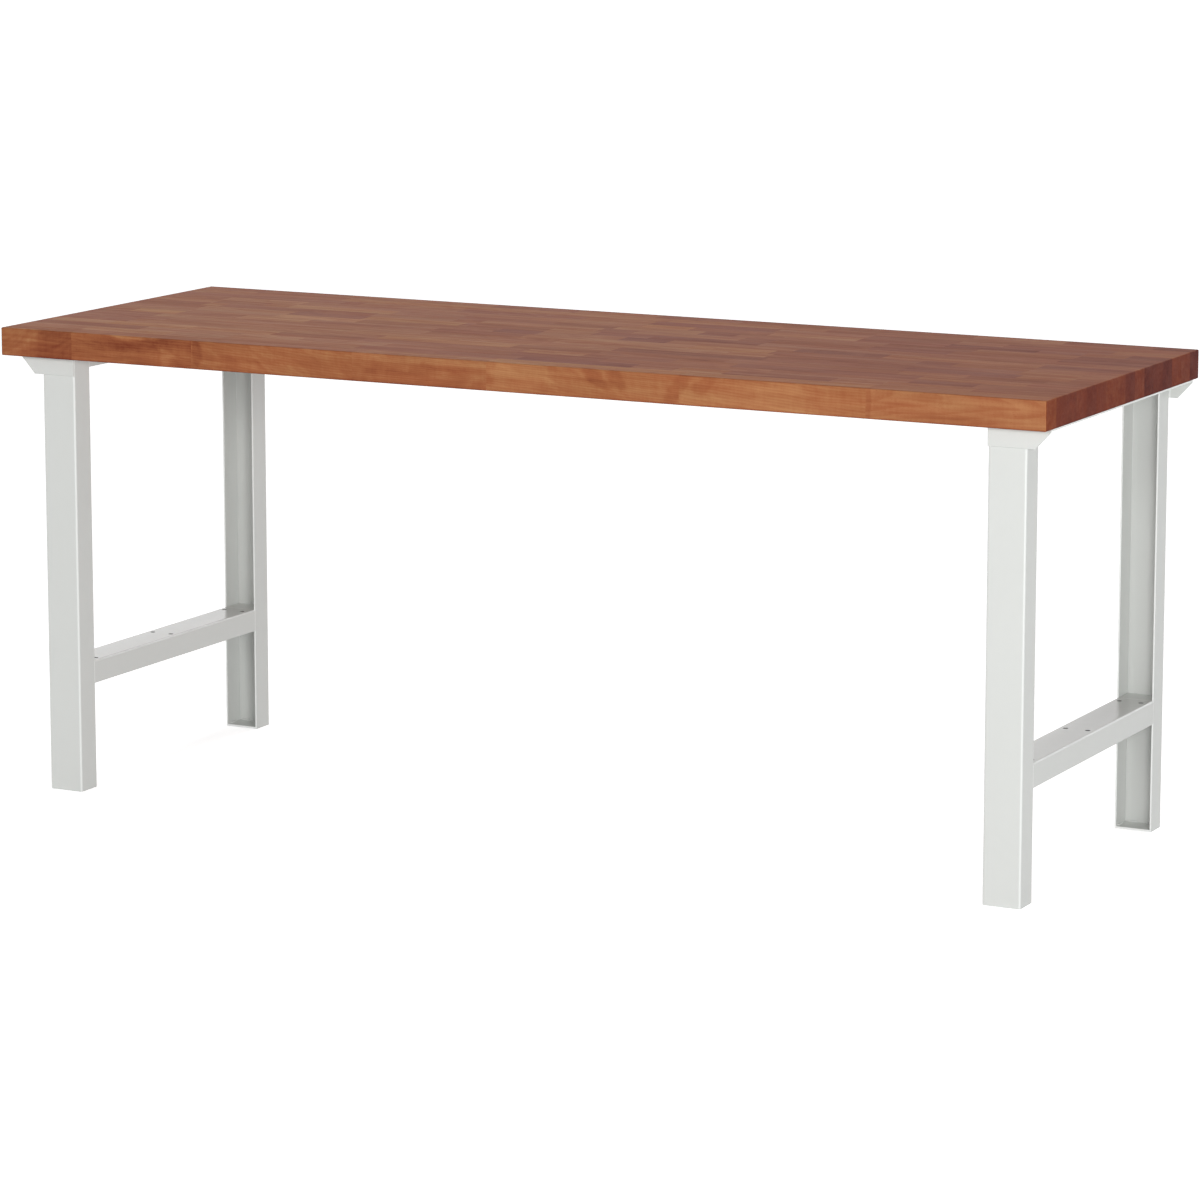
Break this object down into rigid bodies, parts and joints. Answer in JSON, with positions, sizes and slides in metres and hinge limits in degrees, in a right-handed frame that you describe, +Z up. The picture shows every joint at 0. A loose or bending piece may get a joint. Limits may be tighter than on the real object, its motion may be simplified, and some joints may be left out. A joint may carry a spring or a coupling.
{
  "type": "workbench",
  "caption": "Heavy workbench with a thick glued beech top on two folded steel side frames joined by low cross rails.",
  "frame": {"origin": "on the floor, under the middle of the worktop", "axes": "+X along the bench to its right end, +Y from the front edge to the back, +Z up"},
  "size_m": [2, 0.7, 0.84],
  "materials": {
    "beech": "oiled, reddish brown",
    "powder_coat": "light grey powder coat, semi-matt",
    "zinc_plated": "bright zinc plated"
  },
  "bodies": {
    "root": {"worktop_stave_01": "beech", "worktop_stave_02": "beech", "worktop_stave_03": "beech", "worktop_stave_04": "beech", "worktop_stave_05": "beech", "worktop_stave_06": "beech", "worktop_stave_07": "beech", "worktop_stave_08": "beech", "worktop_stave_09": "beech", "worktop_stave_10": "beech", "worktop_stave_11": "beech", "worktop_stave_12": "beech", "worktop_stave_13": "beech", "worktop_stave_14": "beech", "worktop_stave_15": "beech", "worktop_stave_16": "beech", "left_cross_rail": "powder_coat", "left_head_plate": "powder_coat", "left_front_leg": "powder_coat", "left_rear_leg": "powder_coat", "left_front_foot_plate": "powder_coat", "left_rear_foot_plate": "powder_coat", "left_worktop_screws": "zinc_plated", "left_worktop_washers": "zinc_plated", "right_cross_rail": "powder_coat", "right_head_plate": "powder_coat", "right_front_leg": "powder_coat", "right_rear_leg": "powder_coat", "right_front_foot_plate": "powder_coat", "right_rear_foot_plate": "powder_coat", "right_worktop_screws": "zinc_plated", "right_worktop_washers": "zinc_plated"}
  },
  "joints": []
}
